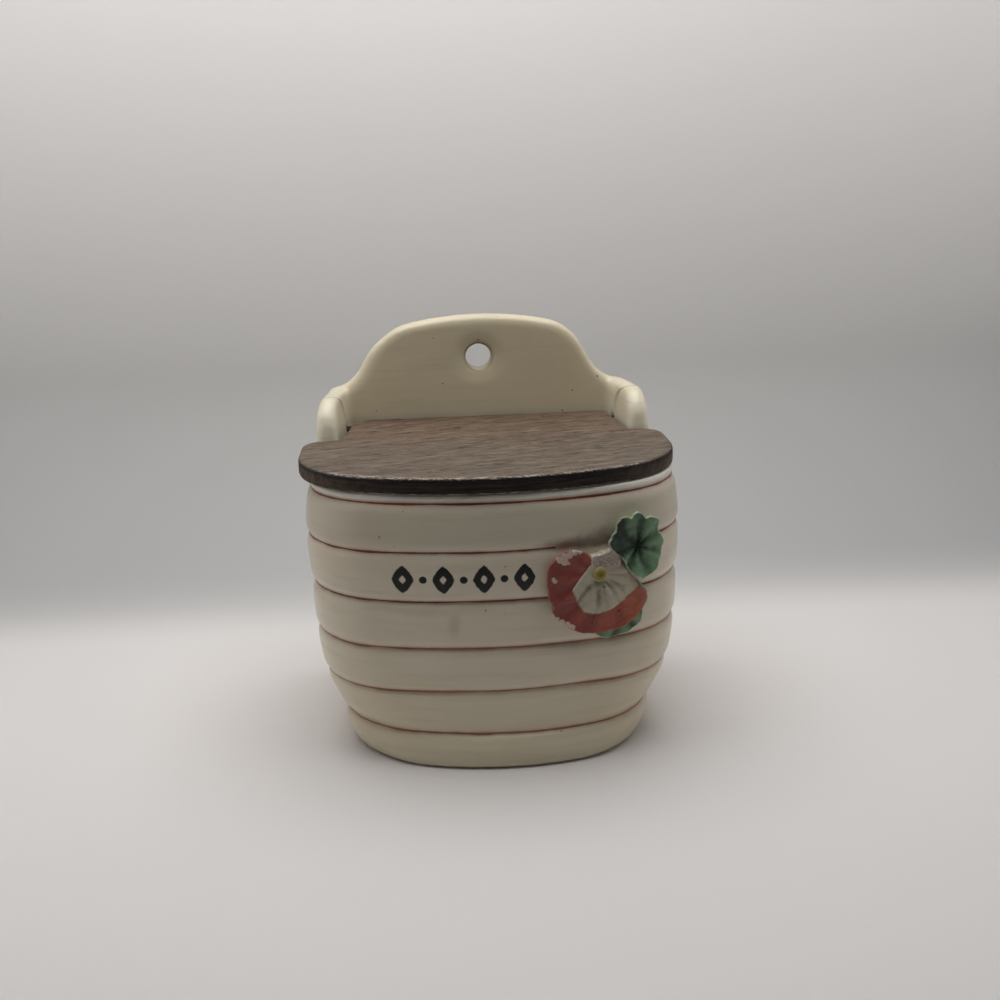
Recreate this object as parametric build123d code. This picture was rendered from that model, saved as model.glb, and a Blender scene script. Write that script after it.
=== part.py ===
from build123d import *
import os
from math import asin, atan2, cos, degrees, radians, sin, sqrt, tan

# A wall-hung ceramic salt box: a D-shaped crock with rounded bands, a hanging plate and two
# ears cast in one piece, a wooden lid that turns on two pins between the ears, and a clay
# flower with two leaves pressed on the front.  Millimetres; +Z up, +X to the right, +Y to
# the wall.  The origin is at table height, in the middle of the width and of the depth.

# ---------------------------------------------------------------- crock, outside
# (height above the table, width, depth from the wall to the front)
base = (0.0, 95.0, 96.4)
grooves = [
    (12.3, 103.2, 96.3),
    (27.8, 114.2, 98.4),
    (43.0, 119.4, 99.6),
    (59.1, 122.2, 100.2),
    (75.6, 124.8, 100.8),
    (91.3, 121.8, 100.1),
]
rim = (94.2, 120.8, 99.6)
band_bulge = 0.8  # how far a band stands out between its two grooves
band_profile = [(0.14, 0.72), (0.5, 1.0), (0.86, 0.72)]  # share of its height, share of bulge
base_bulge = 2.0
rim_bulge = 0.4
front_radius = 125.0  # the plan is a row of tangent arcs: front, corner, side, back corner
corner_radius = 30.0
side_radius = 350.0
back_corner_radius = 6.0

# ---------------------------------------------------------------- crock, inside
wall = 5.0
floor = 6.0
cavity_corner = 4.0
floor_round = 3.5  # how far the cavity draws in at the floor
rim_round = 0.8
foot_width = 8.0
foot_recess = 1.2

# ---------------------------------------------------------------- hanging plate
# Heights here and on the ears are above the rim.
plate_thickness = 7.5
plate_top = 42.2
plate_crown = (33.9, 37.5, 19.0)  # half width, height and radius of each corner
plate_valley = (44.3, 19.4, 15.0)
plate_shoulder = (55.6, 14.6, 4.0)
plate_front_round = 2.8
plate_back_round = 1.6
hole_radius = 5.1
hole_height = 26.9
hole_dish_radius = 9.5
hole_dish_depth = 1.0

# ---------------------------------------------------------------- ears
ear_thickness = 7.6
ear_front = 38.4  # from the wall to the ear's front
ear_half_gap = 51.0  # from the middle to the ear's inner face, at its front
ear_outer_toe_in = 5.6  # degrees: the outer faces follow the sides and close in to the plate
ear_inner_toe_in = (10.3, 3.5)  # at the root and at the top: the gap opens for the raised lid
ear_top = 19.0
ear_fall = 1.6  # how much lower the ear's top is where it meets the plate
ear_bend = 11.0  # radius of its front top corner, seen from the side
ear_round = 3.1
ear_in_plate = 5.0  # how far the ear runs into the plate
ear_root = 18.0  # how far the ear and the plate run down below the rim

# ---------------------------------------------------------------- lid
lid_thickness = 5.5
lid_side_overhang = 2.1  # past the rim on each side
lid_offset = -1.2  # the hand-cut board is wider on the left of its tongue than on the right
lid_front_overhang = 1.3
lid_front_radius = 110.0
lid_corner_radius = 33.0
lid_shoulder_gap = 2.0  # in front of the ears
lid_shoulder_round = 8.5
tongue_gap = 0.8  # on each side, to the ears' fronts
tongue_taper = 7.7  # degrees, on each side
tongue_back_gap = 1.2  # to the plate
tongue_round = 2.0
lid_edge_round = 0.9

# ---------------------------------------------------------------- hinge
pivot_from_plate = 6.5
pin_radius = 1.5
pin_clearance = 0.08  # radial, in the ears
pin_in_lid = 8.0
pin_sunk = 0.5  # the pin's end lies this far inside the ear's outer face

# ---------------------------------------------------------------- flower and leaves
# Each piece has a middle: how far right of the flower's middle along X and how far above it.
flower_x = 31.5
flower_height = 60.7
sprig_root = 4.4  # the clay is modelled this deep, then cut to the crock's surface
petals = {  # middle and radius of each petal's round end; its narrow end is at the eye
    "petal_left": (-9.8, 5.6, 7.5),
    "petal_lower_left": (-7.6, -7.2, 7.2),
    "petal_lower_right": (8.8, -6.4, 7.9),
    "petal_top": (2.8, 9.8, 3.8),
}
petal_thickness = 2.8
petal_dish = 1.2
petal_narrow = 2.6
face_lobes = [(-3.6, -2.6, 4.7), (8.6, -1.6, 4.8), (2.6, 9.0, 3.4)]
face_thickness = 5.0
face_dish = 0.8
eye = (0.6, 4.2, 2.2)
eye_thickness = 5.8
leaves = {  # middle, radius, thickness and how much it is dished
    "leaf_upper": (12.2, 11.7, 11.2, 2.8, 1.2),
    "leaf_under": (6.4, -4.4, 11.6, 1.4, 0.3),
}
leaf_lobe_counts = {"leaf_upper": 7, "leaf_under": 9}
leaf_notch = 1.4  # how deep the edge is cut in between two lobes
vein_width = 0.9
vein_depth = 0.5

# ---------------------------------------------------------------- worked out
wall_y = (max(level[2] for level in grooves) + band_bulge) / 2
plate_front_y = wall_y - plate_thickness
rim_height = rim[0]
ear_front_y = wall_y - ear_front
pivot_y = plate_front_y - pivot_from_plate
pivot_height = rim_height + lid_thickness / 2
shoulder_y = ear_front_y - lid_shoulder_gap
tongue_back_y = plate_front_y - tongue_back_gap


def arc_centres(width, front_y, front_r, corner_r):
    """Where the front arc and the right corner arc have their centres, and where they meet."""
    front_centre_y = front_y + front_r
    corner_x = width / 2 - corner_r
    corner_y = front_centre_y - sqrt((front_r - corner_r) ** 2 - corner_x**2)
    front_turn = degrees(atan2(corner_x, front_centre_y - corner_y))
    return front_centre_y, corner_x, corner_y, front_turn


def arc_plan(width, front_y, front_r, corner_r, side_r, back_y, back_r):
    """A D-shaped outline seen from above, made of tangent arcs and a straight back."""
    front_centre_y, corner_x, corner_y, front_turn = arc_centres(width, front_y, front_r, corner_r)
    side_x = width / 2 - side_r
    back_centre_y = back_y - back_r
    side_turn = degrees(asin((back_centre_y - corner_y) / (side_r - back_r)))
    back_x = side_x + (side_r - back_r) * cos(radians(side_turn))
    right = [
        CenterArc((corner_x, corner_y), corner_r, front_turn - 90, 90 - front_turn),
        CenterArc((side_x, corner_y), side_r, 0, side_turn),
        CenterArc((back_x, back_centre_y), back_r, side_turn, 90 - side_turn),
    ]
    front = CenterArc((0, front_centre_y), front_r, -90 - front_turn, 2 * front_turn)
    back = Line((back_x, back_y), (-back_x, back_y))
    left = [edge.mirror(Plane.YZ) for edge in reversed(right)]
    return make_face([front, *right, back, *left])


def outside(height, width, depth):
    """The crock's outer outline at one height."""
    outline = arc_plan(
        width, wall_y - depth, front_radius, corner_radius, side_radius, wall_y, back_corner_radius
    )
    return Pos(0, 0, height) * outline


def inside(height, width, depth, inset):
    """The cavity's outline at one height, inset from the outer size given."""
    outline = arc_plan(
        width - 2 * inset,
        wall_y - depth + inset,
        front_radius - inset,
        corner_radius - inset,
        side_radius,
        plate_front_y,
        cavity_corner,
    )
    return Pos(0, 0, height) * outline


def band(lower, upper, bulge):
    """One rounded band between two grooves."""
    outlines = [outside(*lower)]
    for share, swell in band_profile:
        height, width, depth = (low + share * (high - low) for low, high in zip(lower, upper))
        outlines.append(outside(height, width + 2 * swell * bulge, depth + swell * bulge))
    return loft([*outlines, outside(*upper)])


def cavity():
    """The hollow, smooth inside and a little drawn in at the floor."""
    levels = [inside(floor, *grooves[0][1:], wall + floor_round)]
    levels += [inside(*groove, wall) for groove in grooves]
    levels += [inside(*rim, wall - rim_round)]
    return loft(levels)


def foot():
    """The shallow recess that leaves a ring to stand on."""
    outline = arc_plan(
        base[1] - 2 * foot_width,
        wall_y - base[2] + foot_width,
        front_radius - foot_width,
        corner_radius - foot_width,
        side_radius,
        wall_y - foot_width,
        back_corner_radius,
    )
    return extrude(outline, foot_recess)


def by_side(corners, half_width):
    """The corners of a symmetric outline that lie about this far out on either side."""
    return [corner for corner in corners if abs(abs(corner.X) - half_width) < 0.01]


def plate():
    """The hanging plate, with its rounded edge."""
    crown_x, crown_z, crown_r = plate_crown
    valley_x, valley_z, valley_r = plate_valley
    shoulder_x, shoulder_z, shoulder_r = plate_shoulder
    root_z = -ear_root
    top = ThreePointArc((-crown_x, crown_z), (0, plate_top), (crown_x, crown_z))
    right = Polyline(
        (crown_x, crown_z), (valley_x, valley_z), (shoulder_x, shoulder_z), (shoulder_x, root_z)
    )
    bottom = Line((shoulder_x, root_z), (-shoulder_x, root_z))
    outline = make_face([top, *right.edges(), bottom, *right.mirror(Plane.YZ).edges()])
    outline = fillet(by_side(outline.vertices(), crown_x), crown_r)
    outline = fillet(by_side(outline.vertices(), valley_x), valley_r)
    shoulders = by_side(outline.vertices(), shoulder_x).copy()
    outline = fillet([corner for corner in shoulders if corner.Y > root_z + 1], shoulder_r)
    on_wall = Plane(origin=(0, wall_y, 0), x_dir=(1, 0, 0), z_dir=(0, -1, 0))
    slab = extrude(on_wall * outline, plate_thickness)
    edges = [edge for edge in slab.edges() if edge.bounding_box().max.Z > root_z + 1]
    back = [edge for edge in edges if edge.bounding_box().min.Y > wall_y - 0.01]
    slab = fillet(back, plate_back_round)
    edges = [edge for edge in slab.edges() if edge.bounding_box().max.Z > root_z + 1]
    front = [edge for edge in edges if edge.bounding_box().max.Y < plate_front_y + 0.01]
    slab = fillet(front, plate_front_round)
    slab &= extrude(outside(root_z, *rim[1:]), ear_root + plate_top)
    return Pos(0, 0, rim_height) * slab


def ear_plan(height, inner_toe_in):
    """The right ear's outline seen from above, from its front's inner corner."""
    length = ear_front - plate_thickness + ear_in_plate
    inner_x = -length * tan(radians(inner_toe_in))
    outer_x = ear_thickness - length * tan(radians(ear_outer_toe_in))
    outline = Polyline((0, 0), (ear_thickness, 0), (outer_x, length), (inner_x, length), close=True)
    return Pos(0, 0, height) * make_face(outline)


def ear():
    """The right ear: a slab with a bent-back front, rounded all over like a sofa arm."""
    length = ear_front - plate_thickness + ear_in_plate
    root_z = -ear_root
    corners = [(0, root_z), (0, ear_top), (length, ear_top - ear_fall)]
    edge = FilletPolyline(*corners, radius=ear_bend)
    outline = make_face([*edge.edges(), Polyline(corners[-1], (length, root_z), corners[0])])
    levels = zip((root_z, ear_top), ear_inner_toe_in)
    slab = loft([ear_plan(*level) for level in levels], ruled=True)
    slab &= extrude(Plane.YZ * outline, 2 * ear_thickness, both=True)
    rounded = [
        line
        for line in slab.edges()
        if line.bounding_box().size.X < ear_thickness * 0.7
        and line.center().Z > root_z + 1
        and line.center().Y < length - 1
    ]
    slab = fillet(rounded, ear_round)
    inner_x = -ear_thickness
    under = Polyline((inner_x, root_z), (ear_thickness, root_z), (inner_x, 0), close=True)
    slab -= extrude(Plane.XZ * make_face(under), 2 * ear_front, both=True)
    return Pos(ear_half_gap, ear_front_y, rim_height) * slab


def crock():
    """The casting: bands, cavity, plate, ears, hanging hole, pin holes and foot."""
    body = band(base, grooves[0], base_bulge)
    for lower, upper in zip(grooves, grooves[1:]):
        body += band(lower, upper, band_bulge)
    body += band(grooves[-1], rim, rim_bulge)
    body -= cavity()
    right_ear = ear()
    body += plate() + right_ear + right_ear.mirror(Plane.YZ)
    body -= foot()
    hole_z = rim_height + hole_height
    body -= Pos(0, wall_y, hole_z) * Rot(90, 0, 0) * Cylinder(hole_radius, 4 * plate_thickness)
    ball = (hole_dish_radius**2 + hole_dish_depth**2) / (2 * hole_dish_depth)
    body -= Pos(0, plate_front_y + hole_dish_depth - ball, hole_z) * Sphere(ball)
    pivot = Pos(0, pivot_y, pivot_height) * Rot(0, 90, 0)
    return body - pivot * Cylinder(pin_radius + pin_clearance, 2 * rim[1])


def tongue_side_x(y):
    """How far out the side of the lid's tongue lies at this y."""
    return ear_half_gap - tongue_gap - (y - ear_front_y) * tan(radians(tongue_taper))


def pin(side, radius, from_x, to_x):
    """A round bar on the hinge's axis, on the right (1) or on the left (-1)."""
    middle = Pos(side * (from_x + to_x) / 2, pivot_y, pivot_height)
    return middle * Rot(0, 90, 0) * Cylinder(radius, to_x - from_x)


def hinge_pin(side):
    """A pin held fast in the lid and free to turn in the ear."""
    from_x = tongue_side_x(pivot_y) - pin_in_lid
    narrowing = (pivot_y - ear_front_y) * tan(radians(ear_outer_toe_in))
    to_x = ear_half_gap + ear_thickness - narrowing - pin_sunk
    return pin(side, pin_radius, from_x, to_x)


def lid():
    """The wooden board: a D over the rim, with a tongue between the ears."""
    width = rim[1] + 2 * lid_side_overhang
    front_y = wall_y - rim[2] - lid_front_overhang
    cover = arc_plan(
        width, front_y, lid_front_radius, lid_corner_radius, side_radius, wall_y, cavity_corner
    )
    cover = Pos(lid_offset, 0) * cover
    cover -= Pos(0, shoulder_y + wall_y) * Rectangle(2 * width, 2 * wall_y)
    root_y = shoulder_y - lid_corner_radius
    corners = [(tongue_side_x(y), y) for y in (root_y, tongue_back_y)]
    tongue = make_face(Polyline(*corners, *[(-x, y) for x, y in reversed(corners)], close=True))
    outline = cover + tongue
    by_y = outline.vertices().group_by(Axis.Y)
    outline = fillet(by_y[-1], tongue_round)
    shoulders = [v for v in outline.vertices() if abs(v.Y - shoulder_y) < 0.01]
    outer = [v for v in shoulders if abs(v.X) > tongue_side_x(shoulder_y) + 1]
    outline = fillet(outer, lid_shoulder_round)
    board = Pos(0, 0, rim_height) * extrude(outline, lid_thickness)
    faces = board.faces().group_by(Axis.Z)
    board = fillet(faces[0].edges() + faces[-1].edges(), lid_edge_round)
    return board - hinge_pin(1) - hinge_pin(-1)


def size_at(height):
    """The crock's width and depth at this height, between two grooves."""
    for lower, upper in zip([base, *grooves], [*grooves, rim]):
        if height <= upper[0]:
            share = (height - lower[0]) / (upper[0] - lower[0])
            return [low + share * (high - low) for low, high in zip(lower[1:], upper[1:])]
    return rim[1:]


def front_plane(right, up):
    """A plane lying on the crock's front, this far from the flower's middle."""
    width, depth = size_at(flower_height + up)
    x = flower_x + right
    half = band_bulge / 2
    front_y = wall_y - depth - half
    centre_y, corner_x, corner_y, meet = arc_centres(
        width + 2 * half, front_y, front_radius, corner_radius
    )
    turn = degrees(asin(x / front_radius))
    y = centre_y - front_radius * cos(radians(turn))
    if turn > meet:
        turn = degrees(asin((x - corner_x) / corner_radius))
        y = corner_y - corner_radius * cos(radians(turn))
    along = (cos(radians(turn)), sin(radians(turn)), 0)
    out = (sin(radians(turn)), -cos(radians(turn)), 0)
    return Plane(origin=(x, y, flower_height + up), x_dir=along, z_dir=out)


def dished(outline, height, dish, reach):
    """A clay slab of this outline, its face hollowed like a saucer that is this wide."""
    slab = extrude(Pos(0, 0, -sprig_root) * outline, sprig_root + height)
    ball = (reach**2 + dish**2) / (2 * dish)
    return slab - Pos(0, 0, height - dish + ball) * Rot(90, 0, 0) * Sphere(ball)


def petal_outline(right, up, radius):
    """A round end and a narrow end at the eye, joined by straight sides."""
    wide = CenterArc((0, 0), radius, 0, 360)
    narrow = CenterArc((eye[0] - right, eye[1] - up), petal_narrow, 0, 360)
    return make_hull([wide, narrow])


def leaf(name):
    """A round leaf with a lobed edge and a sunk vein to each lobe."""
    right, up, radius, thickness, dish = leaves[name]
    lobes = leaf_lobe_counts[name]
    lobe = (radius - leaf_notch) * sin(radians(180 / lobes)) * 1.15
    outline = Circle(radius - leaf_notch - lobe / 2)
    for place in PolarLocations(radius - lobe, lobes, start_angle=90):
        outline += place * Circle(lobe)
    blade = dished(outline, thickness, dish, radius)
    for place in PolarLocations(0, lobes, start_angle=90):
        vein = Pos(radius / 2, 0, thickness - dish) * Box(radius, vein_width, 2 * vein_depth)
        blade -= place * vein
    return front_plane(right, up) * blade


def seated(piece, below):
    """The piece cut away where the pieces below it are."""
    for other in below:
        piece -= other
    return piece


def flower(body):
    """The petals on the under leaf, the pale face on the petals, the upper leaf and the eye."""
    pieces = {"leaf_under": seated(leaf("leaf_under"), [body])}
    taken = []
    for name, (right, up, radius) in petals.items():
        outline = petal_outline(right, up, radius)
        place = front_plane(right, up)
        petal = place * dished(outline, petal_thickness, petal_dish, radius)
        pieces[name] = seated(petal, [body, pieces["leaf_under"], *taken])
        taken.append(place * extrude(outline, 3 * petal_thickness, both=True))
    middle = front_plane(0, 0)
    outline = make_hull([CenterArc((right, up), radius, 0, 360) for right, up, radius in face_lobes])
    face = middle * dished(outline, face_thickness, face_dish, 2 * face_lobes[0][2])
    pieces["flower_face"] = seated(face, [body, *pieces.values()])
    taken.append(middle * extrude(outline, 3 * petal_thickness, both=True))
    pieces["leaf_upper"] = seated(leaf("leaf_upper"), [body, pieces["leaf_under"], *taken])
    right, up, radius = eye
    bead = extrude(Pos(right, up) * Circle(radius), eye_thickness + sprig_root)
    bead = middle * Pos(0, 0, -sprig_root) * fillet(bead.edges().group_by(Axis.Z)[-1], radius / 2)
    pieces["flower_eye"] = seated(bead, [body, *pieces.values()])
    return pieces


def build():
    """Every piece, by its node's name."""
    body = crock()
    pieces = {"crock": body, "lid_board": lid()}
    pieces["hinge_pin_left"] = hinge_pin(-1)
    pieces["hinge_pin_right"] = hinge_pin(1)
    return pieces | flower(body)


os.makedirs("parts", exist_ok=True)
for name, piece in build().items():
    export_step(piece, f"parts/{name}.step")
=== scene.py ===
"""A wall-hung salt box: a glazed crock with painted lines, a worn wooden lid and a clay flower."""

from math import radians

import bpy
import numpy as np
from mathutils import Matrix, Vector, noise


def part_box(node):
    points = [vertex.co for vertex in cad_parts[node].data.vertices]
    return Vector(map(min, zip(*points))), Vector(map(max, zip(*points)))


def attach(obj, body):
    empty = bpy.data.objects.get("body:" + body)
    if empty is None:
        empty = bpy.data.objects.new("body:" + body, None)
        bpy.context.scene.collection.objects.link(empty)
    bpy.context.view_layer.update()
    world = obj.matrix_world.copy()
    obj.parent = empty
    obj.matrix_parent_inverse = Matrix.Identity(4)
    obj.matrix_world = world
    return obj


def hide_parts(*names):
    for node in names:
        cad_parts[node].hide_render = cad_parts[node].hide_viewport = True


MM = 0.001
SEED = Vector((3.7, 1.9, 8.3))

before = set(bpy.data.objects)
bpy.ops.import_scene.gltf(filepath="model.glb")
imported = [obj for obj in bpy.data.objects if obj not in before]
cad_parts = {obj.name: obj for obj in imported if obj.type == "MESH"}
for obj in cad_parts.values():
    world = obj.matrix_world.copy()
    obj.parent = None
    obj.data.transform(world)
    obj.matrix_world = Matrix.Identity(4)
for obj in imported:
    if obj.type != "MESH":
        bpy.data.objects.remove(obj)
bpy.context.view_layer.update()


def edge_of(node, side, axis):
    """Where a CAD node ends, in mm: side 0 is its lowest corner, side 1 its highest."""
    return round(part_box(node)[side][axis] / MM, 2)


# ---------------------------------------------------------------- the frame's sizes, in mm
grooves = [  # height, width and depth of the crock at each groove
    (12.3, 103.2, 96.3),
    (27.8, 114.2, 98.4),
    (43.0, 119.4, 99.6),
    (59.1, 122.2, 100.2),
    (75.6, 124.8, 100.8),
    (91.3, 121.8, 100.1),
]
wall_y = edge_of("crock", 1, 1)
rim_height = edge_of("lid_board", 0, 2)
lid_front_y = edge_of("lid_board", 0, 1)
front_radius = 125.0
corner_radius = 30.0
band_bulge = 0.8
hole_height = rim_height + 26.9
hole_radius = 5.1
ear_top = rim_height + 19.0
ear_inner_x = 46.0
ear_outer_x = 56.0
lid_front_radius = 110.0


# ---------------------------------------------------------------- helpers: meshes
def link(name, mesh):
    """A new object in the scene, shaded smooth."""
    mesh.polygons.foreach_set("use_smooth", [True] * len(mesh.polygons))
    piece = bpy.data.objects.new(name, mesh)
    bpy.context.scene.collection.objects.link(piece)
    return piece


def points(mesh):
    """A mesh's points, in mm."""
    flat = np.empty(len(mesh.vertices) * 3)
    mesh.vertices.foreach_get("co", flat)
    return flat.reshape(-1, 3) / MM


def normals(mesh):
    """The normal at each of a mesh's points."""
    flat = np.empty(len(mesh.vertices) * 3)
    mesh.vertices.foreach_get("normal", flat)
    return flat.reshape(-1, 3)


def set_points(mesh, places):
    """Moves a mesh's points to these places in mm."""
    mesh.vertices.foreach_set("co", (places * MM).ravel())
    mesh.update()


def paint(mesh, name, values):
    """A value for each point, which the mesh's material reads."""
    layer = mesh.attributes.new(name, "FLOAT", "POINT")
    layer.data.foreach_set("value", np.asarray(values, float))


def rough(places, size, octaves=3):
    """Smooth noise between about -1 and 1 at each of these places, with lumps of this size."""
    return np.array([noise.fractal(Vector(p) / size + SEED, 1.0, 2.0, octaves) for p in places])


def rough_in_plane(right, up, size):
    """The same noise on a grid of places in a plane."""
    flat = np.stack([right, up, 0 * up], -1).reshape(-1, 3)
    return rough(flat, size).reshape(up.shape)


def smooth_step(low, high, values):
    """0 below low, 1 above high, and smooth between them."""
    share = np.clip((values - low) / (high - low), 0, 1)
    return share * share * (3 - 2 * share)


def hump(values, middle, half_width):
    """1 at the middle, falling smoothly to nothing about two half widths away."""
    return np.exp(-(((values - middle) / half_width) ** 2))


def remeshed(node, name, voxel):
    """A fine, even copy of a CAD node's mesh, in cubes of this size in mm."""
    coarse = bpy.data.objects.new(name, node.data.copy())
    bpy.context.scene.collection.objects.link(coarse)
    remesh = coarse.modifiers.new("even", "REMESH")
    remesh.mode = "VOXEL"
    remesh.voxel_size = voxel * MM
    bpy.context.view_layer.update()
    done = coarse.evaluated_get(bpy.context.evaluated_depsgraph_get())
    mesh = bpy.data.meshes.new_from_object(done)
    bpy.data.objects.remove(coarse)
    mesh.materials.clear()
    return link(name, mesh)


def soften(mesh, weights, passes):
    """Draws each point towards the middle of its neighbours, by its weight."""
    edges = np.empty(len(mesh.edges) * 2, int)
    mesh.edges.foreach_get("vertices", edges)
    first, second = edges[0::2], edges[1::2]
    places = points(mesh)
    count = len(places)
    near_count = np.bincount(first, minlength=count) + np.bincount(second, minlength=count)
    for _ in range(passes):
        for axis in range(3):
            total = np.bincount(first, places[second, axis], count)
            total += np.bincount(second, places[first, axis], count)
            places[:, axis] += weights * (total / near_count - places[:, axis])
    set_points(mesh, places)


# ---------------------------------------------------------------- helpers: materials
class Finish:
    """A material, and short ways to add nodes to it. Its places and sizes are in mm."""

    def __init__(self, name):
        self.material = bpy.data.materials.new(name)
        self.material.use_nodes = True
        self.tree = self.material.node_tree
        self.tree.nodes.clear()
        self.shader = self.add("ShaderNodeBsdfPrincipled")
        self.output = self.add("ShaderNodeOutputMaterial")
        self.tree.links.new(self.shader.outputs[0], self.output.inputs["Surface"])
        scaled = self.add("ShaderNodeVectorMath", operation="SCALE")
        self.put(self.add("ShaderNodeTexCoord").outputs["Object"], scaled.inputs[0])
        scaled.inputs["Scale"].default_value = 1 / MM
        self.place = scaled.outputs[0]
        axes = self.add("ShaderNodeSeparateXYZ")
        self.put(self.place, axes.inputs[0])
        self.x, self.y, self.z = axes.outputs

    def add(self, kind, **settings):
        node = self.tree.nodes.new(kind)
        for key, value in settings.items():
            setattr(node, key, value)
        return node

    def put(self, value, socket):
        """Sets a socket to a number or colour, or links it to another socket."""
        if isinstance(value, bpy.types.NodeSocket):
            self.tree.links.new(value, socket)
        elif isinstance(value, (tuple, list)) and len(value) == 3 and socket.type == "RGBA":
            socket.default_value = (*value, 1)
        else:
            socket.default_value = value

    def math(self, operation, *values):
        node = self.add("ShaderNodeMath", operation=operation)
        for value, socket in zip(values, node.inputs):
            self.put(value, socket)
        return node.outputs[0]

    def times(self, value, *others):
        for other in others:
            value = self.math("MULTIPLY", value, other)
        return value

    def plus(self, value, *others):
        for other in others:
            value = self.math("ADD", value, other)
        return value

    def minus(self, value, other):
        return self.math("SUBTRACT", value, other)

    def larger(self, value, other):
        return self.math("MAXIMUM", value, other)

    def off(self, value, middle):
        """How far a value is from a middle, either way."""
        return self.math("ABSOLUTE", self.minus(value, middle))

    def length(self, first, second):
        """How long the diagonal of these two distances is."""
        return self.math("SQRT", self.plus(self.times(first, first), self.times(second, second)))

    def rise(self, value, low, high, start=0.0, end=1.0):
        """A smooth change from start to end while the value goes from low to high."""
        node = self.add("ShaderNodeMapRange", interpolation_type="SMOOTHSTEP")
        for item, socket in zip((value, low, high, start, end), node.inputs):
            self.put(item, socket)
        return node.outputs[0]

    def fall(self, value, low, high, start=1.0):
        """A smooth change from start to 0 while the value goes from low to high."""
        return self.rise(value, low, high, start, 0.0)

    def mix(self, share, first, second):
        node = self.add("ShaderNodeMix", data_type="RGBA")
        self.put(share, node.inputs[0])
        self.put(first, node.inputs[6])
        self.put(second, node.inputs[7])
        return node.outputs[2]

    def noise(self, size, detail, roughness=0.55, place=None):
        """Noise from 0 to 1 with lumps of this size."""
        node = self.add("ShaderNodeTexNoise")
        self.put(place or self.place, node.inputs["Vector"])
        node.inputs["Scale"].default_value = 1 / size
        node.inputs["Detail"].default_value = detail
        node.inputs["Roughness"].default_value = roughness
        return node.outputs["Fac"]

    def streaks(self, sizes, detail, roughness=0.55, turn=0.0):
        """Noise with lumps of these sizes along each axis, turned about Z by these degrees."""
        node = self.add("ShaderNodeMapping", vector_type="TEXTURE")
        self.put(self.place, node.inputs[0])
        node.inputs["Rotation"].default_value = (0, 0, radians(turn))
        node.inputs["Scale"].default_value = sizes
        return self.noise(1, detail, roughness, node.outputs[0])

    def uneven(self, size, detail, height):
        """Noise about 0, this high from its lowest to its highest."""
        return self.times(self.minus(self.noise(size, detail), 0.5), height)

    def dots(self, size, radius, chance):
        """1 in small dots, one to a cell of this size, in this share of the cells."""
        node = self.add("ShaderNodeTexVoronoi")
        self.put(self.place, node.inputs["Vector"])
        node.inputs["Scale"].default_value = 1 / size
        colour = self.add("ShaderNodeSeparateColor")
        self.put(node.outputs["Color"], colour.inputs[0])
        reach = self.times(radius / size, colour.outputs[1])
        dot = self.fall(node.outputs["Distance"], self.times(reach, 0.6), reach)
        return self.times(dot, self.math("LESS_THAN", colour.outputs[0], chance))

    def value(self, name):
        """A value painted on the mesh's points."""
        return self.add("ShaderNodeAttribute", attribute_name=name).outputs["Fac"]

    def finish(self, colour, roughness, height=None, **more):
        """Sets the shader's inputs. height is the fine relief."""
        self.put(colour, self.shader.inputs["Base Color"])
        self.put(roughness, self.shader.inputs["Roughness"])
        for name, value in more.items():
            self.put(value, self.shader.inputs[name.replace("_", " ")])
        if height is not None:
            bump = self.add("ShaderNodeBump")
            bump.inputs["Distance"].default_value = MM
            self.put(height, bump.inputs["Height"])
            self.put(bump.outputs[0], self.shader.inputs["Normal"])
        return self.material


def dress(piece, material):
    """Gives a piece its material."""
    piece.data.materials.append(material)


# ---------------------------------------------------------------- the glaze: colours and places
cream_shades = (0.64, 0.570, 0.435), (0.72, 0.650, 0.515)
# painted shade: the darker cream under the lid's overhang
lid_shade_cream = (0.49, 0.465, 0.36)
yellow_cream = (0.68, 0.600, 0.410)
# painted light: the ears' paler cream
ear_lit_cream = (0.90, 0.84, 0.66)
# painted highlight: the pale strip along the rim
rim_highlight_cream = (0.93, 0.92, 0.85)
brushed_tan = (0.52, 0.46, 0.34)
cloudy_tan = (0.60, 0.50, 0.34)
line_reds = (0.105, 0.034, 0.020), (0.22, 0.062, 0.036)
low_line_red = (0.45, 0.24, 0.16)
bleed_pink = (0.55, 0.34, 0.255)
border_black = (0.003, 0.003, 0.003)
patch_brown = (0.13, 0.095, 0.065)
speck_brown = (0.07, 0.05, 0.035)
# the ears' joining line, and painted shade where it widens down their inner sides
seam_and_shade_brown = (0.19, 0.145, 0.06)
# painted shade and dirt: the darker wall of the hanging hole
hole_shade_and_dirt = (0.32, 0.27, 0.18)

line_core = 0.38  # half the width of a painted line
line_bleed = 1.5
broken_line = 4  # the flower interrupts this groove's line
line_gap = (17.6, 50.0)  # from x, to x
out_of_reach = 9.0  # further off than any line is wide
far_off = 100.0

brush_mark = (42, 42, 3.2)  # brush marks run level round the crock
lid_shade_band = (74, 80, 91, 97)  # painted shade under the lid: the cream darkens between the first two heights and recovers by the last
rim_highlight_strip = (2.4, 1.6)  # the rim's painted highlight, a pale strip, starts this far below its top

border_height = 66.9
border_start = -30.8
border_pitch = 12.8
border_count = 4
lozenge = (3.5, 4.7)  # half its width and half its height
lozenge_power = 1.35  # above 1, its sides bulge
border_dot = 1.25

seam_y = 20.0  # the ear's seam crosses its top here
seam_run = 16.0  # how far the seam runs back while it goes down the inner side

dark_patches = [  # place, half its width, half its height, and strength
    ((24.0, -47.5, 76.6), 11.0, 2.2, 0.70),
    ((32.0, -46.5, 77.4), 8.0, 3.4, 0.65),
    ((-15.0, -50.0, 51.5), 2.2, 4.0, 0.22),
    ((-26.0, -49.0, 55.6), 9.0, 1.6, 0.12),
]
patch_depth = 40.0


# ---------------------------------------------------------------- the glaze: its parts
def in_front(f):
    """1 on the crock's front half."""
    return f.fall(f.y, 0, 1)


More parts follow.
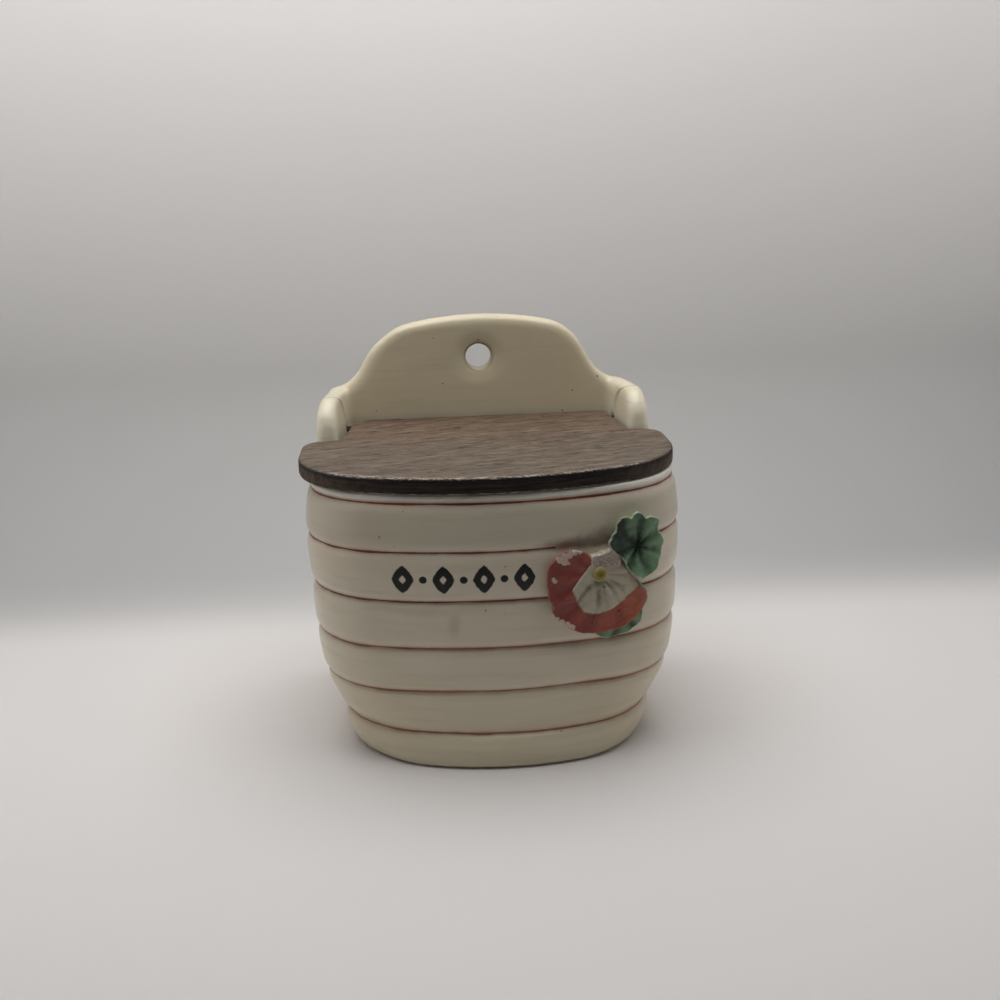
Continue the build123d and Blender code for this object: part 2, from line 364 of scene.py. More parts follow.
def line_distance(f):
    """How far each place is from the nearest painted line. The lines waver a little."""
    wavy_z = f.plus(f.z, f.uneven(22, 2, 0.9))
    nearest = far_off
    for index, (height, _, _) in enumerate(grooves):
        off = f.off(wavy_z, height)
        if index == broken_line:
            start, end = line_gap
            half = (end - start) / 2
            beside = f.off(f.x, (start + end) / 2)
            off = f.plus(off, f.times(f.fall(beside, half - 0.3, half, out_of_reach), in_front(f)))
        nearest = f.math("MINIMUM", nearest, off)
    return nearest


def cream_ground(f, outside):
    """The cream glaze under all marks: darker under the lid in front as painted shade, yellower, paler on
    the ears and along the rim as painted light, brushed and cloudy.
    """
    cream = f.mix(f.noise(38, 3), *cream_shades)
    shade_from, shade_full, full_again, shade_to = lid_shade_band
    # painted shade on the front, just below the lid
    lid_shade = f.times(f.rise(f.z, shade_from, shade_full), f.rise(f.z, shade_to, full_again))
    lid_shade = f.times(lid_shade, f.rise(f.y, 10, -25))
    cream = f.mix(f.times(lid_shade, 0.35), cream, lid_shade_cream)
    up_plate = f.rise(f.z, rim_height + 3.8, rim_height + 9.8, 0.0, 0.75)
    down_foot = f.rise(f.z, 50, 5, 0.0, 0.5)
    cream = f.mix(f.larger(up_plate, down_foot), cream, yellow_cream)
    # painted light: the ears paler, most of all low on their fronts
    on_ear = f.times(
        f.rise(f.math("ABSOLUTE", f.x), ear_inner_x, ear_inner_x + 6),
        f.rise(f.z, rim_height + 2.8, rim_height + 6.8),
        f.rise(f.y, wall_y - 3, wall_y - 14),
    )
    cream = f.mix(f.times(on_ear, f.rise(f.z, ear_top - 7.2, ear_top - 0.7, 0.9, 0.3)), cream, ear_lit_cream)
    brushed = f.streaks(brush_mark, 4, 0.6)
    cream = f.mix(f.rise(brushed, 0.47, 0.76, 0.0, 0.42), cream, brushed_tan)
    cream = f.mix(f.rise(f.noise(30, 2), 0.5, 0.75, 0.0, 0.25), cream, cloudy_tan)
    # painted highlight: a pale strip along the front of the rim
    rim_highlight = f.times(
        f.rise(f.z, rim_height - rim_highlight_strip[0], rim_height - rim_highlight_strip[1]),
        f.rise(f.y, 0, -20, 0.0, 0.65),
        f.times(f.rise(f.z, rim_height + 1.4, rim_height + 0.8), outside),
    )
    return f.mix(rim_highlight, cream, rim_highlight_cream)


def patch_at(f, place, half_width, half_height, strength):
    """A soft, uneven patch on the front around a place."""
    node = f.add("ShaderNodeMapping", vector_type="TEXTURE")
    f.put(f.place, node.inputs[0])
    node.inputs["Location"].default_value = place
    node.inputs["Scale"].default_value = (half_width, patch_depth, half_height)
    length = f.add("ShaderNodeVectorMath", operation="LENGTH")
    f.put(node.outputs[0], length.inputs[0])
    ragged = f.plus(length.outputs["Value"], f.times(f.noise(3.5, 3), 0.9))
    return f.fall(ragged, 0.55, 1.9, strength)


def border(f):
    """Brushed lozenges with a dot between each two."""
    ragged = f.uneven(1.4, 2, 0.22)
    marks = 0.0
    up = f.minus(f.z, border_height)
    for index in range(border_count):
        right = f.minus(f.x, border_start + index * border_pitch)
        shares = [
            f.math("POWER", f.math("DIVIDE", f.math("ABSOLUTE", along), half), lozenge_power)
            for along, half in zip((right, up), lozenge)
        ]
        reach = f.plus(*shares, ragged)
        ring = f.times(f.fall(reach, 0.9, 1.05), f.rise(reach, 0.12, 0.24))
        marks = f.larger(marks, ring)
        if index < border_count - 1:
            beside = f.minus(right, border_pitch / 2)
            from_dot = f.plus(f.length(beside, up), ragged)
            marks = f.larger(marks, f.fall(from_dot, border_dot - 0.15, border_dot + 0.1))
    return f.times(marks, in_front(f))


def ear_seam_and_shade(f):
    """The fine joining line across the top of each ear, which bends down its inner side and widens there
    into painted shade in the hollow beside the plate.
    """
    below = f.larger(f.minus(ear_top, f.z), 0.0)
    bend = f.minus(1.0, f.math("EXPONENT", f.math("DIVIDE", below, -4.5)))
    middle_y = f.math("MULTIPLY_ADD", bend, seam_run, seam_y)
    out = f.math("ABSOLUTE", f.x)
    width = f.rise(f.z, ear_top - 6, ear_top - 1, 3.5, 0.6)
    return f.times(
        f.fall(f.off(f.y, middle_y), 0.0, width),
        f.rise(f.z, ear_top - 11, ear_top - 2, 0.25, 0.8),
        f.rise(out, ear_inner_x - 1, ear_inner_x + 1),
        f.fall(out, ear_outer_x - 1.5, ear_outer_x),
        f.rise(f.z, rim_height + 4, rim_height + 9),
    )


def hole_wall(f):
    """The wall of the hanging hole, painted darker: dirt where the glaze has thinned, and painted shade."""
    from_middle = f.length(f.x, f.minus(f.z, hole_height))
    near_hole = f.fall(from_middle, hole_radius + 0.1, hole_radius + 0.7, 0.6)
    return f.times(near_hole, f.rise(f.y, 30, 31))


def crock_glaze():
    """Cream glaze with painted lines in the grooves, a black brushed border, specks, dark patches, and
    painted light and shade.
    """
    f = Finish("cream_glaze")
    outside = f.value("outside")
    on_side = f.times(outside, f.fall(f.y, wall_y - 9, wall_y - 4))
    away = line_distance(f)
    weight = f.rise(f.noise(11, 3), 0.3, 0.75, 0.6, 1.35)
    core_edge = f.times(weight, line_core)
    core = f.times(f.fall(away, f.times(core_edge, 0.55), f.times(core_edge, 1.3)), on_side)
    bleed = f.times(f.fall(away, 0.2, f.times(weight, line_bleed), 0.62), on_side)
    marks = f.times(border(f), on_side)
    specks = f.larger(f.dots(5.5, 0.45, 0.6), f.dots(17, 0.7, 0.4))
    # the joining line on the ears, and the painted shade that widens below it
    seam_and_shade = ear_seam_and_shade(f)

    colour = cream_ground(f, outside)
    # soft darker brown patches on the front
    for patch in dark_patches:
        colour = f.mix(patch_at(f, *patch), colour, patch_brown)
    colour = f.mix(bleed, colour, bleed_pink)
    line_red = f.mix(f.rise(f.noise(16, 2), 0.35, 0.7), *line_reds)
    # the painted lines lighter towards the bottom
    line_red = f.mix(f.rise(f.z, 52, 47, 0.0, 0.45), line_red, low_line_red)
    colour = f.mix(core, colour, line_red)
    colour = f.mix(marks, colour, border_black)
    colour = f.mix(f.times(specks, 0.8), colour, speck_brown)
    colour = f.mix(seam_and_shade, colour, seam_and_shade_brown)
    colour = f.mix(hole_wall(f), colour, hole_shade_and_dirt)

    height = f.times(f.rise(away, 0.0, 1.5, -0.30, 0.0), on_side)
    height = f.plus(height, f.times(f.noise(14, 2), 0.10), f.times(f.noise(1.6, 2), 0.012))
    height = f.minus(f.minus(height, f.times(specks, 0.10)), f.times(seam_and_shade, 0.15))
    roughness = f.rise(f.noise(20, 3), 0.3, 0.7, 0.29, 0.40)
    coat = f.math("MULTIPLY_ADD", f.larger(marks, core), -0.3, 0.3)
    return f.finish(colour, roughness, height, Specular_IOR_Level=0.4, Coat_Weight=coat, Coat_Roughness=0.2)


# ---------------------------------------------------------------- the crock
crease_depth = 0.55
crease_width = 1.5
shoulder_lean = 1.8  # how far the plate's left shoulder leans in
foot_rounding = 3.6  # how far the foot's front draws back at its sides
foot_middle_x = 8.0
hole_lip = 0.45  # how far the glaze closes the hanging hole

fuller = (  # how far each side stands out from the regular form: height, on the left, on the right
    (0, 0.0, 0.0),
    (12, 0.2, 0.2),
    (28, 0.9, 1.7),
    (45, 0.2, 1.0),
    (60, -0.5, 0.3),
    (76, -0.7, -0.3),
    (92, -0.6, -0.3),
    (98, 0.8, 0.0),
    (108, 0.8, 0.0),
    (114, 0.0, 0.0),
)


def hand_finished(places):
    """Moves places to where the real wall runs, a little off the regular form.

    The sides stand in or out, the plate's left shoulder leans in, the foot is rounder in front,
    and the glaze closes the hanging hole a little.
    """
    x, y, z = places.T.copy()
    levels, left, right = np.array(fuller, float).T
    out = np.where(x < 0, -np.interp(z, levels, left), np.interp(z, levels, right))
    moved = x + out * smooth_step(22, 52, np.abs(x))
    shoulder = smooth_step(22, 34, -x) * (1 - smooth_step(48, 57, -x)) * smooth_step(42, 46, y)
    moved -= shoulder_lean * shoulder * smooth_step(101, 106, z) * (1 - smooth_step(122, 131, z))
    rounder = np.clip(foot_rounding * ((x - foot_middle_x) / 45) ** 2 - 1.2, -1.2, 3.0)
    back = rounder * (1 - smooth_step(-20, 10, y)) * (1 - smooth_step(5, 30, z))
    from_hole = np.hypot(x, z - hole_height)
    lip = hole_lip * hump(from_hole, hole_radius, 1.6) * (z > rim_height + 8)
    closer = 1 - lip / np.maximum(from_hole, 1)
    return np.stack([moved * closer, y + back, hole_height + (z - hole_height) * closer], -1)


def make_crock(node):
    """The casting, its edges softened as under a thick glaze and its walls a little uneven."""
    piece = remeshed(node, "glazed_crock", 1.0)
    mesh = piece.data
    places = points(mesh)
    on_ears = smooth_step(rim_height + 3, rim_height + 7, places[:, 2])
    on_ears *= smooth_step(43, 48, np.abs(places[:, 0]))
    soften(mesh, np.full(len(places), 0.5), 2)
    soften(mesh, 0.5 * on_ears, 16)
    places = points(mesh)
    facing = normals(mesh)
    outwards = ((places - (0, 8, 0)) * facing * (1, 1, 0)).sum(1)
    outside = ((places[:, 2] < rim_height + 1) & (outwards > 0)).astype(float)
    paint(mesh, "outside", outside)
    heights = np.array([height for height, _, _ in grooves])
    gap = np.abs(places[:, 2, None] - heights).min(1)
    front = 1 - smooth_step(wall_y - 9, wall_y - 3, places[:, 1])
    crease = crease_depth * hump(gap, 0.0, crease_width) * outside * front
    swell = rough(places, 34.0, 2) * 0.28 + rough(places, 9.0, 2) * 0.05
    foot = smooth_step(0.5, 6.0, places[:, 2])
    back = smooth_step(0.0, 6.0, wall_y - places[:, 1])
    set_points(mesh, hand_finished(places + facing * (swell * foot * back - crease)[:, None]))
    dress(piece, crock_glaze())
    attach(piece, "box")
    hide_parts("crock")


# ---------------------------------------------------------------- the lid
grain_turn = 12.0  # degrees: the board is cut a little across its grain
fleck_turn = -20.0
wear_ahead = 1.7  # front wear is measured from an arc this far ahead of the board's edge

# how long, wide and high each mark in the wood is
figure_size = (60, 9, 9)
streak_size = (38, 1.3, 2.5)
fibre_size = (8, 0.55, 1.0)
dash_size = (5, 0.8, 1.5)
crack_size = (18, 0.8, 4)
fleck_size = (1.8, 0.45, 1.0)
layer_size = (16, 16, 0.7)

wood_browns = (0.092, 0.054, 0.033), (0.140, 0.087, 0.056)
streak_brown = (0.195, 0.132, 0.088)
# wear and a painted sheen: the browns of the greyer front
worn_and_sheen_greys = (0.100, 0.077, 0.056), (0.175, 0.140, 0.105)
raised_fibre = (0.27, 0.215, 0.16)
sunk_fibre = (0.036, 0.024, 0.016)
dash_brown = (0.022, 0.014, 0.009)
crack_brown = (0.012, 0.008, 0.006)
torn_fibre = (0.64, 0.57, 0.50)
edge_browns = (0.008, 0.005, 0.004), (0.040, 0.027, 0.021)
tip_brown = (0.115, 0.077, 0.052)
scorched_black = (0.003, 0.002, 0.002)


def lid_wood():
    """Dark stained wood, open-grained, its front greyer from wear and a painted sheen, and its fibres
    raised by wear.
    """
    f = Finish("worn_dark_wood")
    figure = f.streaks(figure_size, 3, 0.5, grain_turn)
    streaks = f.streaks(streak_size, 5, 0.65, grain_turn)
    fibres = f.streaks(fibre_size, 4, 0.7, grain_turn)
    dashes = f.rise(f.streaks(dash_size, 2, 0.5, grain_turn), 0.62, 0.69)
    cracks = f.rise(f.streaks(crack_size, 2, 0.45, grain_turn), 0.70, 0.73)
    colour = f.mix(f.rise(figure, 0.3, 0.7), *wood_browns)
    colour = f.mix(f.rise(streaks, 0.38, 0.62, 0.0, 0.8), colour, streak_brown)
    # the front painted greyer: wear, and a painted sheen
    worn = f.times(f.rise(f.y, 28, -20), f.rise(f.noise(14, 3), 0.25, 0.7, 0.45, 0.9))
    colour = f.mix(worn, colour, f.mix(f.rise(streaks, 0.35, 0.65), *worn_and_sheen_greys))
    colour = f.mix(f.rise(fibres, 0.50, 0.66, 0.0, 0.8), colour, raised_fibre)
    colour = f.mix(f.rise(fibres, 0.48, 0.34, 0.0, 0.9), colour, sunk_fibre)
    colour = f.mix(f.times(dashes, 0.85), colour, dash_brown)
    colour = f.mix(f.times(cracks, 0.9), colour, crack_brown)
    flecks = f.rise(f.streaks(fleck_size, 3, 0.6, fleck_turn), 0.46, 0.60)
    colour = f.mix(f.times(flecks, f.value("front")), colour, torn_fibre)
    layers = f.rise(f.streaks(layer_size, 3), 0.35, 0.7)
    side = f.mix(layers, *edge_browns)
    side = f.mix(f.value("tip"), side, tip_brown)
    side = f.mix(f.value("scorched"), side, scorched_black)
    colour = f.mix(f.value("edge"), colour, side)
    height = f.plus(f.times(f.rise(fibres, 0.3, 0.8), 0.2), f.times(streaks, 0.10))
    height = f.minus(f.minus(height, f.times(dashes, 0.16)), f.times(cracks, 0.35))
    roughness = f.rise(streaks, 0.3, 0.7, 0.48, 0.66)
    return f.finish(colour, roughness, height, Specular_IOR_Level=0.22)


def make_lid(node):
    """The board: raised grain on top, and fibres torn along the left of its front edge."""
    piece = remeshed(node, "wooden_lid", 0.55)
    mesh = piece.data
    soften(mesh, np.full(len(mesh.vertices), 0.3), 1)
    places = points(mesh)
    facing = normals(mesh)
    x, y, z = places.T
    turn = np.radians(grain_turn)
    along = x * np.cos(turn) + y * np.sin(turn)
    across = y * np.cos(turn) - x * np.sin(turn)
    grain = rough(np.stack([along / 26, across / 1.4, z / 3], -1), 1.0, 3)
    wear_y = lid_front_y - wear_ahead
    from_front = lid_front_radius - np.hypot(x, y - wear_y - lid_front_radius)
    paint(mesh, "edge", 1 - smooth_step(0.45, 0.8, np.abs(facing[:, 2])))
    paint(mesh, "tip", smooth_step(30, 62, np.abs(x)) * (0.7 + 0.5 * rough(places, 3.0)))
    top = z.max()
    uneven = rough(places * (1, 1, 0), 3.0) * 0.5
    paint(mesh, "scorched", 0.9 * smooth_step(top - 2.4, top - 0.6, z + uneven))
    paint(mesh, "front", 1 - smooth_step(0.6, 5.0, from_front))
    torn = rough(np.stack([x / 2.2, y / 2.2, z / 0.8], -1), 1.0, 2)
    near_edge = (1 - smooth_step(0.4, 1.6, from_front)) * smooth_step(0.3, 0.9, facing[:, 2])
    cut = np.clip(grain, 0, 1) * 0.18 + np.abs(torn) * near_edge * 0.45
    set_points(mesh, places - facing * cut[:, None])
    dress(piece, lid_wood())
    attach(piece, "lid")
    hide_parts("lid_board")


# ---------------------------------------------------------------- the hinge pins
# near-black tarnish, dark also as painted shade in the gap between the lid and the ears
brass_tarnish_and_shade = (0.055, 0.038, 0.02), (0.02, 0.014, 0.009)
scratch_size = (0.15, 4, 4)


def pin_metal():
    """Dull brass, scratched round the pin, its tarnish near black, also as painted shade in the gap between
    the lid and the ears.
    """
    f = Finish("dull_brass")
    tarnish = f.rise(f.noise(1.5, 3), 0.35, 0.7)
    roughness = f.rise(tarnish, 0.0, 1.0, 0.45, 0.7)
    scratches = f.times(f.streaks(scratch_size, 2), 0.01)
    return f.finish(f.mix(tarnish, *brass_tarnish_and_shade), roughness, scratches, Metallic=1.0)


def dress_pins(nodes):
    """Both pins keep their CAD shape and get the same metal."""
    metal = pin_metal()
    for name in ("hinge_pin_left", "hinge_pin_right"):
        nodes[name].data.materials.clear()
        nodes[name].data.materials.append(metal)


# ---------------------------------------------------------------- the flower: how a piece is made
flower_x = 31.5  # the flower's middle
flower_height = 60.7
spokes = 240  # points round a clay piece
rings = 48  # rings of points from its middle to its rim
clay_rim = 0.9  # a piece's rim stands free, this thick
clay_sunk = 1.5  # a piece's foot runs this deep into the crock


def on_crock(right, up, out):
    """Places on the crock's front, wrapped round its curve, this far from the flower's middle."""
    height = flower_height + up
    levels, widths, depths = np.array(grooves).T
    half_width = np.interp(height, levels, widths / 2) + band_bulge / 2
    depth = np.interp(height, levels, depths) + band_bulge / 2
    corner_x = half_width - corner_radius
    arc_y = wall_y - depth + front_radius
    corner_y = arc_y - np.sqrt((front_radius - corner_radius) ** 2 - corner_x**2)
    meet = np.arctan2(corner_x, arc_y - corner_y)
    turn = np.arcsin(flower_x / front_radius) + right / front_radius
    past = np.maximum(turn - meet, 0)
    bend = meet + past * front_radius / corner_radius
    round_corner = turn > meet
    angle = np.where(round_corner, bend, turn)
    radius = np.where(round_corner, corner_radius, front_radius) + out
    x = np.where(round_corner, corner_x, 0) + radius * np.sin(angle)
    y = np.where(round_corner, corner_y, arc_y) - radius * np.cos(angle)
    return np.stack([x, y, height + 0 * x], axis=-1)


def reach_of(outline, middle, angles):
    """How far an outline lies from a middle in each direction, its corners rounded by hand."""
    right, up = (np.array(outline) - middle).T
    directions = np.arctan2(up, right) % (2 * np.pi)
    reach = np.interp(angles, directions, np.hypot(right, up), period=2 * np.pi)
    for _ in range(3):
        reach = (np.roll(reach, 1) + 2 * reach + np.roll(reach, -1)) / 4
    ring = np.stack([np.cos(angles), np.sin(angles), 0 * angles], -1) * reach[:, None]
    return reach + rough(ring, 1.6) * 0.22


def clay_piece(name, outline, middle, form, tuck):
    """A clay piece pressed on the crock. form gives its height and its shade, 0 to 1, at each place.

    Its rim stands free, and below it the piece tucks in to this share of its width.
    """
    angles = np.linspace(0, 2 * np.pi, spokes, endpoint=False)
    edge = reach_of(outline, middle, angles)
    shares = np.linspace(0.02, 1, rings) ** 0.85
    share, angle = np.meshgrid(shares, angles, indexing="ij")
    right = middle[0] + share * edge * np.cos(angle)
    up = middle[1] + share * edge * np.sin(angle)
    gap = (1 - share) * edge
    rolled = 1 - np.sqrt(1 - (1 - np.clip(gap / 0.8, 0, 1)) ** 2)
    height, shade = form(right, up, share)
    out = height + 0.14 * rough_in_plane(right, up, 2.6) - 0.5 * clay_rim * rolled
    levels = [on_crock(right, up, out).reshape(-1, 3)]
    levels.append(on_crock(right[-1], up[-1], out[-1] - 0.5 * clay_rim))
    for inset, low in ((tuck, 0.35), (tuck - 0.03, -clay_sunk)):
        inner_right = middle[0] + inset * edge * np.cos(angles)
        inner_up = middle[1] + inset * edge * np.sin(angles)
        levels.append(on_crock(inner_right, inner_up, np.full(spokes, low)))
    mesh = ringed_mesh(name, np.concatenate(levels))
    values = {"rim": 1 - smooth_step(0.0, 1.4, gap), "shade": shade, "right": right, "up": up}
    for key, value in values.items():
        value = np.broadcast_to(value, up.shape)
        paint(mesh, key, np.concatenate([value.ravel(), value[-1], value[-1], value[-1]]))
    return link(name, mesh)


def ringed_mesh(name, places):
    """A closed mesh of rings of points, each joined to the next, with a face at either end."""
    last = len(places) - spokes
    turn = [(index, (index + 1) % spokes) for index in range(spokes)]
    faces = [
        (low + here, low + spokes + here, low + spokes + after, low + after)
        for low in range(0, last, spokes)
        for here, after in turn
    ]
    faces += [tuple(range(spokes - 1, -1, -1)), tuple(range(last, last + spokes))]
    mesh = bpy.data.meshes.new(name)
    mesh.from_pydata((places * MM).tolist(), [], faces)
    mesh.update()
    return mesh


# ---------------------------------------------------------------- the flower: forms
eye_place = (-0.9, 6.0)  # right and up from the flower's middle, as all these places
leaf_middle = (12.5, 13.0)
under_middle = (7.0, -7.0)


def around(middle, right, up):
    """Each place's direction and distance from a middle."""
    return np.arctan2(up - middle[1], right - middle[0]), np.hypot(right - middle[0], up - middle[1])


def petal_form(right, up, share):
    """Slightly hollow, with faint folds that run out from the eye."""
    turn, distance = around(eye_place, right, up)
    folds = np.cos(11 * turn + 0.2 * distance)
    return 2.5 + 0.5 * share**2 + 0.10 * folds, 0.5 + 0.2 * folds + 0.03 * right


def leaf_form(right, up, share):
    """Cupped round a deep middle, with a pleat in each of its seven lobes."""
    turn, _ = around(leaf_middle, right, up)
    pleats = np.cos(7 * (turn - 0.14)) * np.sqrt(share)
    shade = 0.36 + 0.28 * share + 0.20 * pleats + 0.028 * (right - 13) - 0.006 * (up - 13)
    shade -= 0.62 * hump(share, 0.0, 0.26) + 0.34 * (1 - smooth_step(5.5, 10, right))
    return 1.9 + 2.2 * share**1.3 + 0.55 * pleats, shade


def under_leaf_form(right, up, share):
    """Nearly flat, with short pleats at its edge."""
    turn, _ = around(under_middle, right, up)
    pleats = np.cos(9 * turn)
    return 1.4 + 0.3 * pleats * share, 0.6 + 0.3 * pleats


def face_form(right, up, share):
    """Two soft lobes below the eye, a groove between them, a furrow over each, and folds beside. Its shade
    darkens the groove, the furrows and the lobes as painted shade, and bands the folds lighter and darker
    as painted light and shade.
    """
    lobes = hump(right, -5.0, 3.0) * hump(up, -2.2, 3.6) + hump(right, 3.4, 3.6) * hump(up, -2.0, 3.0)
    groove = hump(right, -1.2, 1.1) * hump(up, -1.6, 3.4)
    sag = np.where(right > -1.2, 0.06, 0.13)
    furrow = hump(up + sag * (right + 1.2) ** 2, 3.2, 1.3) * np.exp(-(((right + 1.2) / 8.5) ** 4))
    turn, distance = around(eye_place, right, up)
    beside = smooth_step(0, 2, right - eye_place[0]) * hump(distance, 7, 4)
    folds = np.cos(16 * turn) * beside
    height = 3.6 + 0.45 * lobes - 0.38 * groove - 0.36 * furrow + 0.18 * folds
    # painted shade in the groove, the furrows and on the lobes; painted light and shade along the folds
    shade = 0.92 - 0.58 * groove - 0.50 * furrow + 0.22 * folds - 0.17 * lobes
    return height - 0.5 * share**2, shade


def stump_form(right, up, share):
    """The flat, rough break where the upper petal has come away."""
    grain = rough_in_plane(right, up, 0.7)
    return 3.4 + 0.12 * grain, 0.5 + 0.4 * grain


def eye_form(right, up, share):
    """A low bead with a dimple."""
    return 4.7 - 0.8 * share**2 - 0.25 * hump(share, 0.0, 0.35), 0.8 - 0.5 * hump(share, 0.0, 0.4)


# ---------------------------------------------------------------- the flower: outlines
outlines = {  # right and up from the flower's middle
    "leaf_upper": [
        (5.9, 11.4), (3.2, 13.4), (1.6, 16), (3, 18), (4.5, 19.5), (5, 22), (6, 23.5), (8, 24),
        (9.5, 23), (10.5, 24.3), (12.2, 24.8), (13.5, 24), (14.8, 22), (16, 22.8), (18, 22),
        (19.5, 20.8), (19.4, 17.5), (20.8, 14), (21, 11.5), (20.5, 9), (19, 7.5), (18.5, 4),
        (16, 2.5), (13.5, 2.2), (12, 3), (9.2, 5.6), (7.6, 8.7),
    ],
    "leaf_under": [
        (11, 3), (13, 1.4), (15, -0.8), (17.2, -3.5), (17.4, -6.3), (15.6, -8.5), (15.3, -11.5),
        (14.3, -14), (11, -16), (7.3, -16.7), (4, -17.3), (0.5, -16.8), (-1.5, -15.6), (-2, -13),
        (0, -6), (4, 0),
    ],
    "petal_left": [
        (-3.5, 11.5), (-4.5, 13.2), (-6.5, 14), (-9.5, 14.5), (-12.5, 14), (-14.5, 12.5),
        (-16.5, 10.5), (-17.5, 8), (-17.5, 5), (-17.2, 2), (-17, -1), (-16.2, -2.6), (-14, -3),
        (-8, -2), (-5, 3), (-3, 8),
    ],
    "petal_lower_left": [
        (-16, -2.8), (-15.6, -4.3), (-15.9, -6), (-15, -7.5), (-12.5, -9.5), (-11, -11.6),
        (-8.6, -12.7), (-4.5, -14.1), (-2, -14.3), (-0.5, -12), (-1.5, -6), (-6, -1), (-12, -1),
    ],
    "petal_lower_right": [
        (-3, -14), (0, -14.4), (3, -14.2), (6.5, -13.7), (10, -12.2), (12.8, -10.3), (14.3, -8.4),
        (15.6, -6), (16, -4.3), (15, -2), (12.5, -0.5), (8, -1), (2, -4), (-2, -7),
    ],
    "petal_top": [
        (-3.6, 10), (-3.2, 11.9), (-0.8, 12.1), (2, 12.6), (4.6, 13.2), (5.8, 11.6), (6.4, 8.5),
        (2, 8), (-3, 8.2),
    ],
    "flower_face": [
        (-3.4, 9.6), (-4.6, 8.4), (-6.2, 6), (-8.1, 3.2), (-9.6, 1.2), (-9.2, -0.8), (-7.8, -4),
        (-6.2, -6.6), (-3.6, -7.6), (-0.5, -7.9), (2.5, -7.2), (5.8, -5.6), (8.8, -3),
        (11.8, -1.4), (12.8, -0.2), (11.2, 2.5), (9.2, 4.8), (6.6, 8.2), (3, 9), (0, 9.2),
        (-2, 9.6),
    ],
    "flower_eye": [(1.5, 6.0), (-0.9, 8.4), (-3.3, 6.0), (-0.9, 3.6)],
}

chips = [  # where the glaze has come off: right, up and radius
    (-13.4, 11.8, 1.3),
    (-12.2, 12.4, 1.5),
    (-10.4, 13.2, 1.2),
    (-8.8, 13.7, 1.0),
    (-7.2, 13.9, 0.8),
    (-12.0, 10.9, 1.2),
    (-10.7, 10.4, 0.6),
    (-15.6, 5.6, 0.7),
    (-15.1, 4.8, 0.7),
    (-14.4, -7.8, 0.6),
    (-13.0, -9.0, 0.8),
    (-11.5, -10.2, 1.1),
    (-9.8, -11.3, 1.1),
]

# ---------------------------------------------------------------- the flower: glazes
flower_colours = {  # dark, light, and at the rim
    "green_glaze": ((0.004, 0.018, 0.010), (0.20, 0.34, 0.19), (0.48, 0.52, 0.39)),
    "red_glaze": ((0.25, 0.058, 0.048), (0.40, 0.110, 0.062), (0.40, 0.15, 0.11)),
    "pale_glaze": ((0.13, 0.098, 0.055), (0.52, 0.475, 0.36), (0.66, 0.62, 0.50)),
    "bare_clay": ((0.27, 0.215, 0.18), (0.56, 0.48, 0.41), (0.70, 0.65, 0.54)),
    "yellow_glaze": ((0.14, 0.095, 0.012), (0.34, 0.27, 0.045), (0.40, 0.34, 0.20)),
}
chipped_clay = (0.44, 0.31, 0.25), (0.80, 0.65, 0.55)
burnt_orange = (0.22, 0.085, 0.035)
burnt_tan = (0.36, 0.27, 0.19)
reddish_tip = (0.36, 0.14, 0.09)


def chipped_off(f):
    """1 where the glaze has come off, with jagged edges."""
    jag = f.uneven(1.1, 3, 1.3)
    bare = 0.0
    for right, up, radius in chips:
        from_chip = f.length(f.minus(f.value("right"), right), f.minus(f.value("up"), up))
        bare = f.larger(bare, f.fall(f.plus(from_chip, jag), radius - 0.15, radius + 0.15))
    return bare


def burnt(f, colour, near_rim, brushed):
    """The pale face's darker places: its lower rim, beside the eye, and its reddish right tip."""
    right, up = f.value("right"), f.value("up")
    low = f.times(f.rise(near_rim, 0.35, 1.0), f.rise(up, 2.5, -1.5))
    colour = f.mix(f.times(low, 0.85), colour, burnt_orange)
    beside = f.times(f.rise(right, 0, 5), f.rise(up, 1, 5))
    colour = f.mix(f.times(beside, 0.45), colour, burnt_tan)
    tip = f.plus(right, f.times(brushed, 6.0))
    return f.mix(f.rise(tip, 8.5, 12.0, 0.0, 0.6), colour, reddish_tip)


def flower_glaze(name, rim_share):
    """Brushed glaze, lighter by its shade and where it thins at its rim, with what its kind adds."""
    f = Finish(name)
    dark, light, rim_colour = flower_colours[name]
    brushed = f.uneven(2.4, 4, 0.8)
    colour = f.mix(f.rise(f.plus(f.value("shade"), brushed), 0.0, 1.0), dark, light)
    near_rim = f.math("MULTIPLY_ADD", f.minus(f.noise(1.3, 3), 0.5), 0.9, f.value("rim"))
    colour = f.mix(f.rise(near_rim, 1 - rim_share, 1.1, 0.0, 0.9), colour, rim_colour)
    if name == "pale_glaze":
        colour = burnt(f, colour, near_rim, brushed)
    height = f.math("MULTIPLY_ADD", f.noise(1.8, 3), 0.22, f.times(f.noise(0.5, 2), 0.04))
    if name == "bare_clay":
        return f.finish(colour, 0.8, height)
    roughness = 0.36
    if name == "red_glaze":
        bare = chipped_off(f)
        colour = f.mix(bare, colour, f.mix(f.noise(0.9, 3), *chipped_clay))
        height = f.minus(height, f.times(bare, 0.3))
        roughness = f.math("MULTIPLY_ADD", bare, 0.4, roughness)
    return f.finish(colour, roughness, height, Specular_IOR_Level=0.3)


